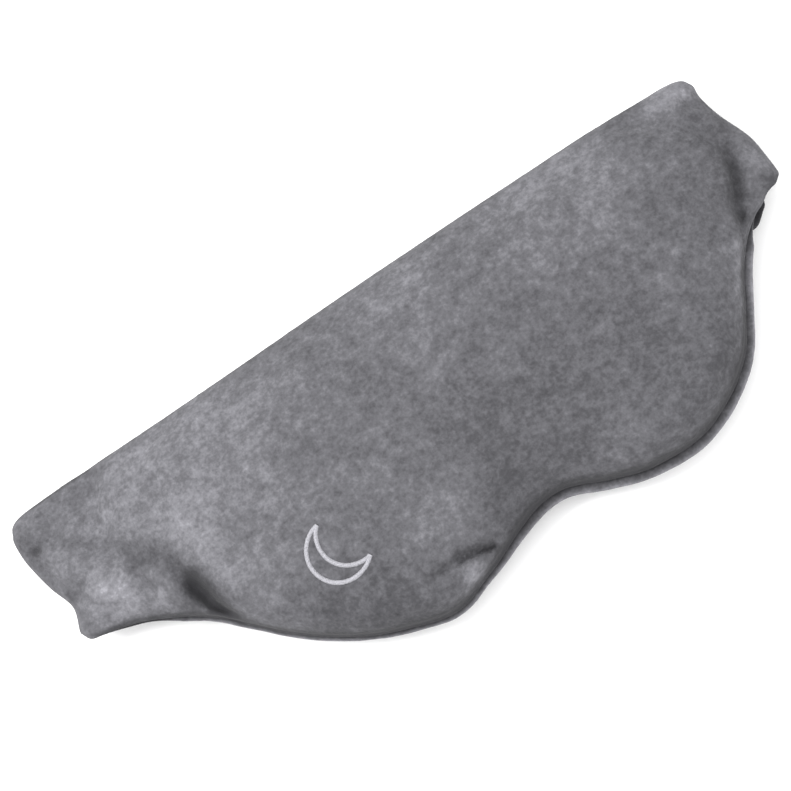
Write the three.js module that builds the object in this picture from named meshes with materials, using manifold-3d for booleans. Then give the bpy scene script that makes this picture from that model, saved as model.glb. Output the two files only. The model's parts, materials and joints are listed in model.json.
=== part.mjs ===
// Soft eye massager mask, lying face side down with both head straps folded away beneath it.
//
// Millimetres, +Z up. X runs along the mask from the left wing to the right wing, and +Y points to
// the forehead edge. The origin is on the resting plane, under the nose bridge. A plush front cover
// and a back cover are sewn together along one seam. Between them lie a padding sheet, a foam core
// that carries two vibration pods and a control pod, and a bead pouch under each eye lobe. Each
// head strap is sewn under the end of a wing, lies folded under the mask and folds once more on itself.

import * as THREE from "three";
import { mergeVertices } from "three/addons/utils/BufferGeometryUtils.js";
import Module from "manifold-3d";

const wasm = await Module();
wasm.setup();

// ---------------------------------------------------------------- driving dimensions
const GAP = 0.3; // air between neighbouring solids
const LAYER = 0.8; // air between the curved layers of the filling
const LEFT_END = -119; // ends of the wings
const RIGHT_END = 94;
const SEAM_Z = 9; // height of the seam that joins the two covers
const COVER = 1.6; // thickness of the plush, pile included
const PADDING = 2.8; // thickness of the padding sheet
const FRONT_ROLL = 14; // the front cover rounds over within this distance of the seam
const BACK_ROLL = 9;
const BAY_Z = 6.5; // underside of the upper band, which leaves a bay for the folded straps
const BAY_EDGE = [16, 8]; // the underside steps from the bay down to the eye lobes between these Y

// Plan of the covers: X and Y of the forehead edge, and of the wings, eye lobes and nose notch.
const FOREHEAD_EDGE = [
  [-119, 56.6], [-112, 58.8], [-98, 59], [76, 58.8], [84, 57.6], [88, 54.8], [91, 49.5], [94, 42],
];
const FACE_EDGE = [
  [-119, 20.6], [-113, 19.2], [-100, 15.8], [-85, 6.8], [-70, -8.4], [-52, -20], [-34, -25.6],
  [-17, -21.8], [-8, -17.6], [0, -14.9], [8, -15], [17, -18.8], [35, -23.2], [51, -20.6],
  [64, -11.4], [74, 4.6], [84, 16.4], [94, 20.4],
];
// How high the front cover stands above the seam, along X.
const CROWN = [
  [-119, 3.8], [-98, 5.4], [-80, 8.8], [-55, 11.6], [-20, 12.2], [20, 12.2], [50, 11.8],
  [70, 9.8], [84, 6.2], [94, 4],
];

const POD = { x: 46, y: 0, z: 5.9, radius: 12, height: 7, wall: 1, gate: 3.4 };
const MOTOR = { radius: 6, height: 3.6, wall: 0.5, pin: 0.5 };
const CONTROL = { width: 60, depth: 24, x: 0, y: 32, z: 8.4, height: 7, wall: 1.1, lid: 1.2, corner: 4 };
const BOARD = { x: 13.5, width: 21, depth: 19, thickness: 0.8, z: 9.8 };
const CELL = { x: -12, width: 24, depth: 18, thickness: 3.8, z: 9.8 };
const PORT = { x: 17.5, width: 9, height: 3, depth: 7.4 };
const BUTTON = { x: 8, radius: 4.4, flange: 0.9, height: 2.2, z: 13.7 };
const SWITCH = { width: 5.2, height: 1.2, plunger: 1.2, rise: 0.8, z: 12.6 };
const LAMP = { x: 19, radius: 0.8, height: 1.6 };
const SCREW = { inset: 3.2, head: 1.3, headHeight: 0.9, shank: 0.75, length: 4.6 };
const LEAD = { radius: 0.8, channel: 1.3, sides: 8, steps: 20 };
const CRESCENT = { x: -48, y: 0.5, radius: 9, line: 1.5, height: 0.8 };

// A strap is sewn under its wing at the outer fold, and turns back on itself at the inner fold.
const STRAP = { thickness: 2.6, tipWidth: 30, flareLength: 8, z: 3.3, y: 39.3 };
const LEFT_STRAP = { inward: 1, outerFold: -113.4, innerFold: -28, root: [22.8, 55.8], flare: 0 };
const RIGHT_STRAP = { inward: -1, outerFold: 88, innerFold: -18, root: [21.6, 54], flare: 4.8 };
const ELASTIC = { thickness: 1.6, width: 29, length: 86 };
const TOUCH_PAD = { length: 46, width: 25, thickness: 1, inset: 3 };

// ---------------------------------------------------------------- materials
function finish(color, roughness, metalness = 0) {
  return new THREE.MeshStandardMaterial({ color, roughness, metalness });
}

const plush = finish(0x75747a, 0.95);
const lining = finish(0x66656b, 0.9);
const batting = finish(0xe4e2dc, 1);
const foam = finish(0xc9c6bd, 0.95);
const beadCloth = finish(0xb9b6ae, 0.85);
const thread = finish(0xd8d7dc, 0.6);
const webbing = finish(0x2b2b2e, 0.8);
const touchTape = finish(0x202023, 0.7);
const abs = finish(0x3a3b3f, 0.5);
const steel = finish(0xb8babd, 0.3, 1);
const tungsten = finish(0x77797c, 0.45, 1);
const board = finish(0x1f5a3c, 0.5);
const foil = finish(0xb4b7bb, 0.4, 0.8);
const silicone = finish(0x8a8a90, 0.7);
const wire = finish(0x1c1c1e, 0.6);
const lamp = finish(0xe9efe6, 0.2);

// ---------------------------------------------------------------- solids
function solidOf(geometry) {
  const loose = geometry.index ? geometry.toNonIndexed() : geometry;
  const bare = new THREE.BufferGeometry().setAttribute("position", loose.getAttribute("position"));
  const merged = mergeVertices(bare, 1e-4);
  return new wasm.Manifold(new wasm.Mesh({
    numProp: 3,
    vertProperties: merged.attributes.position.array,
    triVerts: new Uint32Array(merged.index.array),
  }));
}

function geometryOf(solid) {
  const mesh = solid.getMesh();
  const geometry = new THREE.BufferGeometry();
  geometry.setAttribute("position", new THREE.BufferAttribute(mesh.vertProperties, 3));
  geometry.setIndex(new THREE.BufferAttribute(mesh.triVerts, 1));
  geometry.computeVertexNormals();
  return geometry;
}

function cut(geometry, ...tools) {
  return geometryOf(tools.reduce((left, tool) => left.subtract(solidOf(tool)), solidOf(geometry)));
}

function join(geometry, ...more) {
  return geometryOf(more.reduce((sum, part) => sum.add(solidOf(part)), solidOf(geometry)));
}

function box(width, depth, height, x, y, z) {
  return new THREE.BoxGeometry(width, depth, height).translate(x, y, z + height / 2);
}

function cylinder(radius, height, x, y, z, sides = 28) {
  return new THREE.CylinderGeometry(radius, radius, height, sides)
    .rotateX(Math.PI / 2)
    .translate(x, y, z + height / 2);
}

// A turned piece about a vertical axis. Its profile runs from the axis outwards and up.
function turned(profile, x, y, z, sides = 28) {
  const points = profile.map(([r, h]) => new THREE.Vector2(r, h));
  return new THREE.LatheGeometry(points, sides).rotateX(Math.PI / 2).translate(x, y, z);
}

function roundedPlate(width, depth, height, corner, x, y, z) {
  const [w, d, r] = [width / 2, depth / 2, corner];
  const shape = new THREE.Shape();
  shape.moveTo(-w + r, -d);
  shape.lineTo(w - r, -d);
  shape.absarc(w - r, -d + r, r, -Math.PI / 2, 0);
  shape.absarc(w - r, d - r, r, 0, Math.PI / 2);
  shape.absarc(-w + r, d - r, r, Math.PI / 2, Math.PI);
  shape.absarc(-w + r, -d + r, r, Math.PI, 1.5 * Math.PI);
  return new THREE.ExtrudeGeometry(shape, { depth: height, bevelEnabled: false, curveSegments: 4 })
    .translate(x, y, z);
}

function plateFrom(corners, thickness, z) {
  const shape = new THREE.Shape(corners.map(([x, y]) => new THREE.Vector2(x, y)));
  return new THREE.ExtrudeGeometry(shape, { depth: thickness, bevelEnabled: false }).translate(0, 0, z);
}

// ---------------------------------------------------------------- the sewn outline
// A smooth curve through points in order of X, and its slope there.
function along(points, x) {
  const last = points.length - 2;
  let i = 0;
  while (i < last && x > points[i + 1][0]) i += 1;
  const slopeAt = (k) => {
    const a = points[Math.max(k - 1, 0)];
    const b = points[Math.min(k + 1, points.length - 1)];
    return (b[1] - a[1]) / (b[0] - a[0]);
  };
  const [x0, y0] = points[i];
  const [x1, y1] = points[i + 1];
  const [span, t] = [x1 - x0, (x - x0) / (x1 - x0)];
  const [m0, m1] = [slopeAt(i) * span, slopeAt(i + 1) * span];
  const value = y0 + m0 * t + (3 * (y1 - y0) - 2 * m0 - m1) * t ** 2 + (2 * (y0 - y1) + m0 + m1) * t ** 3;
  const slope = (m0 + 2 * (3 * (y1 - y0) - 2 * m0 - m1) * t + 3 * (2 * (y0 - y1) + m0 + m1) * t ** 2) / span;
  return { value, slope };
}

// The outline, drawn in by inset: its ends, its two edges at X, and how far inside it a point lies.
function outline(inset) {
  const ends = [LEFT_END + inset, RIGHT_END - inset];
  const faceEdge = (x) => {
    const { value, slope } = along(FACE_EDGE, x);
    return value + inset * Math.hypot(1, slope);
  };
  const foreheadEdge = (x) => along(FOREHEAD_EDGE, x).value - inset;
  const depth = (x, y) => {
    const lean = Math.hypot(1, along(FACE_EDGE, x).slope);
    return Math.min(foreheadEdge(x) - y, (y - faceEdge(x)) / lean, x - ends[0], ends[1] - x);
  };
  return { ends, faceEdge, foreheadEdge, depth };
}

const roll = (depth, radius) => Math.sqrt(1 - (1 - THREE.MathUtils.clamp(depth / radius, 0, 1)) ** 2);

// Outer faces of the covers, sunk by sink, at a point that lies depth inside the sunk outline.
function frontFace(x, depth, sink) {
  return SEAM_Z + (along(CROWN, x).value - sink) * roll(depth, FRONT_ROLL);
}

function backFace(x, y, depth, sink) {
  const lobe = THREE.MathUtils.smoothstep(-y, -BAY_EDGE[0], -BAY_EDGE[1]);
  const drop = THREE.MathUtils.lerp(SEAM_Z - BAY_Z, SEAM_Z, lobe);
  return SEAM_Z - (drop - sink) * roll(depth, BACK_ROLL);
}

// Rows and columns of points over an outline, closer together towards its edges.
function sheet(edge, nx, ny, height, mixture = 0.55) {
  const rows = [];
  for (let i = 0; i <= nx; i += 1) {
    const even = i / nx;
    const eased = (1 - Math.cos(Math.PI * even)) / 2;
    const x = THREE.MathUtils.lerp(...edge.ends, THREE.MathUtils.lerp(even, eased, mixture));
    const row = [];
    for (let j = 0; j <= ny; j += 1) {
      const share = (1 - Math.cos((Math.PI * j) / ny)) / 2;
      const y = THREE.MathUtils.lerp(edge.faceEdge(x), edge.foreheadEdge(x), share);
      row.push([x, y, height(x, y, edge.depth(x, y))]);
    }
    rows.push(row);
  }
  return rows;
}

// The closed solid between two sheets with the same rows and columns.
function between(upper, lower) {
  const [nx, ny] = [upper.length - 1, upper[0].length - 1];
  const triangles = [];
  const quad = (a, b, c, d) => triangles.push(...a, ...b, ...c, ...a, ...c, ...d);
  for (let i = 0; i < nx; i += 1) {
    for (let j = 0; j < ny; j += 1) {
      quad(upper[i][j], upper[i + 1][j], upper[i + 1][j + 1], upper[i][j + 1]);
      quad(lower[i][j], lower[i][j + 1], lower[i + 1][j + 1], lower[i + 1][j]);
    }
    quad(lower[i][0], lower[i + 1][0], upper[i + 1][0], upper[i][0]);
    quad(upper[i][ny], upper[i + 1][ny], lower[i + 1][ny], lower[i][ny]);
  }
  for (let j = 0; j < ny; j += 1) {
    quad(upper[0][j], upper[0][j + 1], lower[0][j + 1], lower[0][j]);
    quad(lower[nx][j], lower[nx][j + 1], upper[nx][j + 1], upper[nx][j]);
  }
  return new THREE.BufferGeometry().setAttribute("position", new THREE.Float32BufferAttribute(triangles, 3));
}

// ---------------------------------------------------------------- covers and filling
const FRONT_GRID = [32, 12];
const BACK_GRID = [32, 18];
const FILL_GRID = [24, 8];
const CORE_INSET = 7;
const CORE_FLOOR = 8.4;

function frontCover() {
  const lift = GAP / 2;
  const outer = sheet(outline(0), ...FRONT_GRID, (x, y, depth) => frontFace(x, depth, 0) + lift);
  const inner = sheet(outline(COVER), ...FRONT_GRID, (x, y, depth) => frontFace(x, depth, COVER) + lift);
  return between(outer, inner);
}

function backCover() {
  const outer = sheet(outline(0), ...BACK_GRID, (x, y, depth) => backFace(x, y, depth, 0));
  const inner = sheet(outline(COVER), ...BACK_GRID, (x, y, depth) => backFace(x, y, depth, COVER));
  const chargingSlit = box(PORT.width + 5, 3, 12, PORT.x, 51, 0);
  return cut(between(inner.map(lowered), outer.map(lowered)), chargingSlit);
}

const lowered = (row) => row.map(([x, y, z]) => [x, y, Math.max(z - GAP / 2, 0)]);

// The padding lies against the inside of the front cover, with a hole over the button.
function frontPadding() {
  const inset = 3 + COVER;
  const under = COVER + LAYER;
  const top = (x, y, depth) => frontFace(x, depth + inset - under, under);
  const upper = sheet(outline(inset), ...FILL_GRID, top);
  const lower = sheet(outline(inset), ...FILL_GRID, (x, y, depth) => top(x, y, depth) - thin(x));
  return cut(between(upper, lower), cylinder(BUTTON.radius + 2.6, 12, BUTTON.x, CONTROL.y, 12));
}

// The padding thins out in the wings, where the covers lie close together.
const thin = (x) => Math.min(PADDING, Math.max(along(CROWN, x).value - 3.6, 0.9));

// The core ends short of the wings.
function coreOutline() {
  const edge = outline(CORE_INSET);
  return { ...edge, ends: [-84, 74] };
}

function foamCore() {
  const under = COVER + 2 * LAYER;
  const edge = coreOutline();
  const top = (x, y, depth) => frontFace(x, depth + CORE_INSET - under, under) - thin(x);
  const upper = sheet(edge, ...FILL_GRID, (x, y) => top(x, y, outline(CORE_INSET).depth(x, y)));
  const lower = sheet(edge, ...FILL_GRID, () => CORE_FLOOR);
  const [foot, reach] = [CORE_FLOOR - 1, 14];
  const pockets = [-1, 1].map((side) => cylinder(POD.radius + GAP, reach, side * POD.x, POD.y, foot));
  const channels = [-1, 1].map((side) => leadTube(side, LEAD.channel));
  const { width, depth, corner, x, y } = CONTROL;
  const controlPocket = roundedPlate(width + 2 * GAP, depth + 2 * GAP, reach, corner + GAP, x, y, foot);
  return cut(between(upper, lower), ...pockets, controlPocket, ...channels);
}

// A pouch of glass beads lies under each eye lobe, flat below and pillowed above.
function beadPouch(side) {
  const [rx, ry, thickness, floor] = [20.5, 10.5, 3, 2.7];
  const points = [[0, 0], [1, 0], [1.04, 0.35], [0.97, 0.75], [0.8, 1], [0, 1]];
  const profile = points.map(([r, h]) => new THREE.Vector2(r, h * thickness));
  return new THREE.LatheGeometry(profile, 28)
    .rotateX(Math.PI / 2)
    .scale(rx / 1.04, ry / 1.04, 1)
    .translate(side * 40, -2.8, floor);
}

// ---------------------------------------------------------------- vibration pods
function vibrationPod(side) {
  const name = side < 0 ? "left" : "right";
  const [x, y, z] = [side * POD.x, POD.y, POD.z];
  const { radius, height, wall } = POD;
  const rim = height - wall - GAP;
  const tray = turned([
    [0, 0], [radius, 0], [radius, rim], [radius - wall, rim], [radius - wall, wall], [0, wall],
  ], x, y, z);
  const cableGate = box(3.2, 4, 3.4, x - side * POD.gate, y + radius - 1, z + 1.6);
  const lipTop = height - wall;
  const lip = radius - wall - GAP;
  const lid = turned([
    [0, lipTop], [lip - 1, lipTop], [lip - 1, lipTop - 1.4], [lip, lipTop - 1.4], [lip, lipTop],
    [radius, lipTop], [radius, height - 0.3], [radius - 0.5, height], [0, height],
  ], x, y, z);
  return [
    piece(`${name}_pod_tray`, cut(tray, cableGate), abs),
    piece(`${name}_pod_lid`, lid, abs),
    ...coinMotor(name, x, y, z + wall + GAP),
  ];
}

// A coin motor: a base with its pin, a half-disc weight that turns on the pin, and a can over both.
function coinMotor(name, x, y, z) {
  const { radius, height, wall, pin } = MOTOR;
  const base = turned([
    [0, 0], [radius, 0], [radius, wall], [pin, wall], [pin, height - 1], [0, height - 1],
  ], x, y, z);
  const canFoot = wall + GAP;
  const inside = radius - wall;
  const can = turned([
    [0, height - wall], [inside, height - wall], [inside, canFoot],
    [radius, canFoot], [radius, height], [0, height],
  ], x, y, z);
  const weight = new THREE.Shape();
  weight.absarc(0, 0, inside - 0.5, 0, Math.PI);
  weight.absarc(0, 0, 1.6, Math.PI, 2 * Math.PI);
  const bore = new THREE.Path().absarc(0, 0, pin + 0.3, 0, 2 * Math.PI, true);
  weight.holes.push(bore);
  const rotor = new THREE.ExtrudeGeometry(weight, { depth: 1.2, bevelEnabled: false, curveSegments: 12 })
    .translate(x, y, z + wall + 2 * GAP);
  return [
    piece(`${name}_motor_base`, base, steel),
    piece(`${name}_motor_weight`, rotor, tungsten),
    piece(`${name}_motor_can`, can, steel),
  ];
}

// ---------------------------------------------------------------- control pod
const screwPlaces = [[-1, -1], [1, -1], [1, 1], [-1, 1]].map(([i, j]) => [
  CONTROL.x + i * (CONTROL.width / 2 - SCREW.inset),
  CONTROL.y + j * (CONTROL.depth / 2 - SCREW.inset),
]);

const boardTop = BOARD.z + BOARD.thickness;

function controlTray() {
  const { width, depth, height, wall, corner, x, y, z } = CONTROL;
  const trayHeight = height - CONTROL.lid - GAP;
  const shell = cut(
    roundedPlate(width, depth, trayHeight, corner, x, y, z),
    roundedPlate(width - 2 * wall, depth - 2 * wall, trayHeight, corner - wall, x, y, z + wall),
  );
  const posts = screwPlaces.map(([px, py]) => cylinder(2.1, trayHeight, px, py, z, 20));
  const screwHoles = screwPlaces.map(([px, py]) => cylinder(SCREW.shank + 0.3, height, px, py, z - 1, 16));
  const headSeats = screwPlaces.map(([px, py]) => cylinder(SCREW.head + 0.3, 2.3, px, py, z - 1, 16));
  const portGate = box(PORT.width + 2 * GAP, 6, PORT.height + 2 * GAP, PORT.x, y + depth / 2, boardTop);
  const leadY = leadPath(1)[0].y;
  const leadGates = [-1, 1].map((side) => box(6, 3.4, 3.4, x + side * width / 2, leadY, 9.8));
  return cut(join(shell, ...posts), ...screwHoles, ...headSeats, portGate, ...leadGates);
}

function controlLid() {
  const { width, depth, height, corner, x, y, z } = CONTROL;
  const lid = roundedPlate(width, depth, CONTROL.lid, corner, x, y, z + height - CONTROL.lid);
  const buttonHole = cylinder(BUTTON.radius + 0.35, 4, BUTTON.x, y, z + height - 2);
  const lampHole = cylinder(LAMP.radius + GAP, 4, LAMP.x, y, z + height - 2, 16);
  return cut(lid, buttonHole, lampHole);
}

function controlPod() {
  const { y, z, height } = CONTROL;
  const portZ = boardTop + GAP;
  const portY = y + (CONTROL.depth - PORT.depth) / 2;
  const port = cut(
    box(PORT.width, PORT.depth, PORT.height, PORT.x, portY, portZ),
    box(PORT.width - 1, PORT.depth, PORT.height - 1, PORT.x, portY + 1, portZ + 0.5),
  );
  const { head, headHeight, shank, length } = SCREW;
  const screwProfile = [
    [0, 0], [head, 0], [head, headHeight], [shank, headHeight], [shank, length], [0, length],
  ];
  const screws = screwPlaces.map(([px, py], i) => (
    piece(`case_screw_${i + 1}`, turned(screwProfile, px, py, z + 0.1, 16), steel)
  ));
  const cell = roundedPlate(CELL.width, CELL.depth, CELL.thickness, 1.5, CELL.x, y, CELL.z);
  const lidTop = z + height;
  const cap = turned([
    [0, 0], [BUTTON.radius + BUTTON.flange, 0], [BUTTON.radius + BUTTON.flange, 0.3], [BUTTON.radius, 0.3],
    [BUTTON.radius, BUTTON.height - 0.3], [BUTTON.radius - 0.5, BUTTON.height], [0, BUTTON.height],
  ], BUTTON.x, y, BUTTON.z);
  return [
    piece("control_tray", controlTray(), abs),
    piece("control_lid", controlLid(), abs),
    piece("circuit_board", box(BOARD.width, BOARD.depth, BOARD.thickness, BOARD.x, y, BOARD.z), board),
    piece("battery_cell", cell, foil),
    piece("charging_port", port, steel),
    piece("switch_body", box(SWITCH.width, SWITCH.width, SWITCH.height, BUTTON.x, y, boardTop + GAP), abs),
    piece("switch_plunger", cylinder(SWITCH.plunger, SWITCH.rise, BUTTON.x, y, SWITCH.z, 16), silicone),
    piece("button_cap", cap, silicone),
    piece("status_lamp", cylinder(LAMP.radius, LAMP.height, LAMP.x, y, lidTop - LAMP.height, 16), lamp),
    ...screws,
  ];
}

// ---------------------------------------------------------------- internal leads
// Each lead leaves an end of the control pod and enters the nearer side of a vibration pod.
function leadPath(side) {
  const points = [
    [28.2, 27, 11.5], [33, 26.6, 11.4], [38.5, 23.5, 10.8],
    [41.8, 18, 10], [42.6, 13.5, 9.4], [42.6, 10, 9.2],
  ];
  return points.map(([x, y, z]) => new THREE.Vector3(side * x, y, z));
}

function leadTube(side, radius) {
  const section = new THREE.Shape().absarc(0, 0, radius, 0, 2 * Math.PI);
  return new THREE.ExtrudeGeometry(section, {
    steps: LEAD.steps,
    curveSegments: LEAD.sides / 2,
    bevelEnabled: false,
    extrudePath: new THREE.CatmullRomCurve3(leadPath(side)),
  });
}

// ---------------------------------------------------------------- straps
// inward is +1 for the left strap, which folds towards +X, and -1 for the right. The right strap
// flares at its root, towards the face.
function strap(name, { inward, outerFold, innerFold, root, flare }) {
  const [rootX, tipX] = [outerFold + inward * GAP, innerFold - inward * GAP];
  const [low, high] = root;
  const tip = STRAP.tipWidth / 2;
  const corners = [
    [rootX, low - flare],
    [rootX, high],
    [tipX, STRAP.y + tip],
    [tipX, STRAP.y - tip],
    [rootX + inward * STRAP.flareLength, low],
  ];
  return piece(name, plateFrom(inward > 0 ? corners.reverse() : corners, STRAP.thickness, STRAP.z), plush);
}

function elastic(name, { inward, innerFold }, z) {
  const start = innerFold - inward * GAP;
  const centre = start - (inward * ELASTIC.length) / 2;
  const { length, width, thickness } = ELASTIC;
  return piece(name, roundedPlate(length, width, thickness, 3, centre, STRAP.y, z), webbing);
}

function touchPad(name, { inward, innerFold }, z) {
  const tip = innerFold - inward * (GAP + ELASTIC.length - TOUCH_PAD.inset);
  const centre = tip + (inward * TOUCH_PAD.length) / 2;
  const { length, width, thickness } = TOUCH_PAD;
  return piece(name, roundedPlate(length, width, thickness, 2, centre, STRAP.y, z), touchTape);
}

// ---------------------------------------------------------------- embroidery
// A crescent drawn as one line of satin stitch: two arcs that meet in soft points.
function crescent() {
  const { x, y, radius, line, height } = CRESCENT;
  const moon = (r, bite, offset) => {
    const angle = Math.acos((r * r + offset * offset - bite * bite) / (2 * r * offset));
    const inner = Math.atan2(r * Math.sin(angle), r * Math.cos(angle) - offset);
    const shape = new THREE.Shape();
    shape.absarc(0, 0, r, angle, 2 * Math.PI - angle, false);
    shape.absarc(offset, 0, bite, -inner, inner, true);
    return shape;
  };
  const shape = moon(radius, radius * 0.82, radius * 0.52);
  shape.holes.push(moon(radius - line, radius * 0.82 + line, radius * 0.52));
  return new THREE.ExtrudeGeometry(shape, { depth: height, bevelEnabled: false, curveSegments: 12 })
    .rotateZ(0.5)
    .translate(x, y, frontFace(x, FRONT_ROLL, 0) + GAP + 0.35);
}

// ---------------------------------------------------------------- assembly
function piece(name, geometry, material) {
  const mesh = new THREE.Mesh(geometry, material);
  mesh.name = name;
  return mesh;
}

const mask = new THREE.Group();
mask.add(
  piece("front_cover", frontCover(), plush),
  piece("back_cover", backCover(), lining),
  piece("front_padding", frontPadding(), batting),
  piece("foam_core", foamCore(), foam),
  piece("left_bead_pouch", beadPouch(-1), beadCloth),
  piece("right_bead_pouch", beadPouch(1), beadCloth),
  ...vibrationPod(-1),
  ...vibrationPod(1),
  ...controlPod(),
  piece("left_lead", leadTube(-1, LEAD.radius), wire),
  piece("right_lead", leadTube(1, LEAD.radius), wire),
  strap("left_strap", LEFT_STRAP),
  strap("right_strap", RIGHT_STRAP),
  elastic("left_strap_elastic", LEFT_STRAP, 0),
  elastic("right_strap_elastic", RIGHT_STRAP, TOUCH_PAD.thickness + GAP),
  touchPad("loop_pad", LEFT_STRAP, ELASTIC.thickness + GAP),
  touchPad("hook_pad", RIGHT_STRAP, 0),
  piece("embroidered_crescent", crescent(), thread),
);

export default mask;
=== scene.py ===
"""Soft eye massager mask: the detailed surfaces, finishes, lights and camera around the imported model.

Lengths are written in millimetres and turned into metres as each mesh is made.
"""

import json
import math

import bmesh
import bpy
import numpy as np
from mathutils import Matrix, Vector, noise
from mathutils.bvhtree import BVHTree
from mathutils.kdtree import KDTree


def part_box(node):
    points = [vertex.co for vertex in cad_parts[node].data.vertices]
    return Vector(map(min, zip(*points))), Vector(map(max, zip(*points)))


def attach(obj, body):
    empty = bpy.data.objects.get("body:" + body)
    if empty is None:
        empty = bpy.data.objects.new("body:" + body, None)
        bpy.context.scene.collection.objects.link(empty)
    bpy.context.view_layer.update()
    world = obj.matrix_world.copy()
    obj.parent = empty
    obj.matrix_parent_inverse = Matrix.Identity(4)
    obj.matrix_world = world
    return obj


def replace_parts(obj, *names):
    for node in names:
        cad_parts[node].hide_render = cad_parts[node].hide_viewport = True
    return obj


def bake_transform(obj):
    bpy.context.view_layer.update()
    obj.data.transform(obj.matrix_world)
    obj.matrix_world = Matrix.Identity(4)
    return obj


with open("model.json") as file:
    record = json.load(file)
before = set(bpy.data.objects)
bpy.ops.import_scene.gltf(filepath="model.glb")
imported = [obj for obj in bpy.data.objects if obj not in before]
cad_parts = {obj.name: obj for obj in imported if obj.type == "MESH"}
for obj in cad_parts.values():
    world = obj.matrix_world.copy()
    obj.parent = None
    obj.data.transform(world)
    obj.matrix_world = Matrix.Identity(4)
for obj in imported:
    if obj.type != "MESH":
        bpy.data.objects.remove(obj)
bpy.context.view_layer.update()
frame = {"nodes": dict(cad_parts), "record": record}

MM = 0.001


def span(node):
    """A node's lowest and highest corner, in millimetres."""
    low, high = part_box(node)
    return Vector(low) / MM, Vector(high) / MM


def middle_of(node):
    """The middle of a node's box, in millimetres."""
    low, high = span(node)
    return (low + high) / 2


def placed(name, data):
    """A new object in the scene."""
    made = bpy.data.objects.new(name, data)
    bpy.context.scene.collection.objects.link(made)
    return made


FRONT_LOW, FRONT_HIGH = span("front_cover")
SEAM_Z = (FRONT_LOW.z + span("back_cover")[1].z) / 2
FOREHEAD_Y = FRONT_HIGH.y - 0.2
LEFT_END = FRONT_LOW.x
RIGHT_END = FRONT_HIGH.x
FLOOR_GAP = 0.03  # the covers stay this far above the resting plane
CHARGING_SLIT = np.array([middle_of("charging_port").x, 51.0])
SLIT_HALF = (6.6, 1.3)
BINDING_HALF = (7.3, 1.9)

# ------------------------------------------------------------------ camera
AIM = (-15.7, 28.6, 12)
AZIMUTH = 14
ELEVATION = 73
LONG_AXIS_RISE = 33.5
LENS = 110
DISTANCE = 614


def make_camera():
    azimuth, elevation = math.radians(AZIMUTH), math.radians(ELEVATION)
    back = Vector((
        math.sin(azimuth) * math.cos(elevation),
        -math.cos(azimuth) * math.cos(elevation),
        math.sin(elevation),
    ))
    long_axis = (Vector((1, 0, 0)) - back * back.x).normalized()
    right = Matrix.Rotation(-math.radians(LONG_AXIS_RISE), 3, back) @ long_axis
    up = back.cross(right)
    data = bpy.data.cameras.new("camera")
    data.lens = LENS
    data.clip_start = 0.01
    camera = placed("camera", data)
    turn = Matrix((right, up, back)).transposed().to_4x4()
    camera.matrix_world = Matrix.Translation((Vector(AIM) + back * DISTANCE) * MM) @ turn
    bpy.context.scene.camera = camera


make_camera()


# ------------------------------------------------------------------ finishes
FINISHES = {}
WAVE_SCALE = 0.314  # makes one band of a wave texture as wide as its pitch


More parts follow.
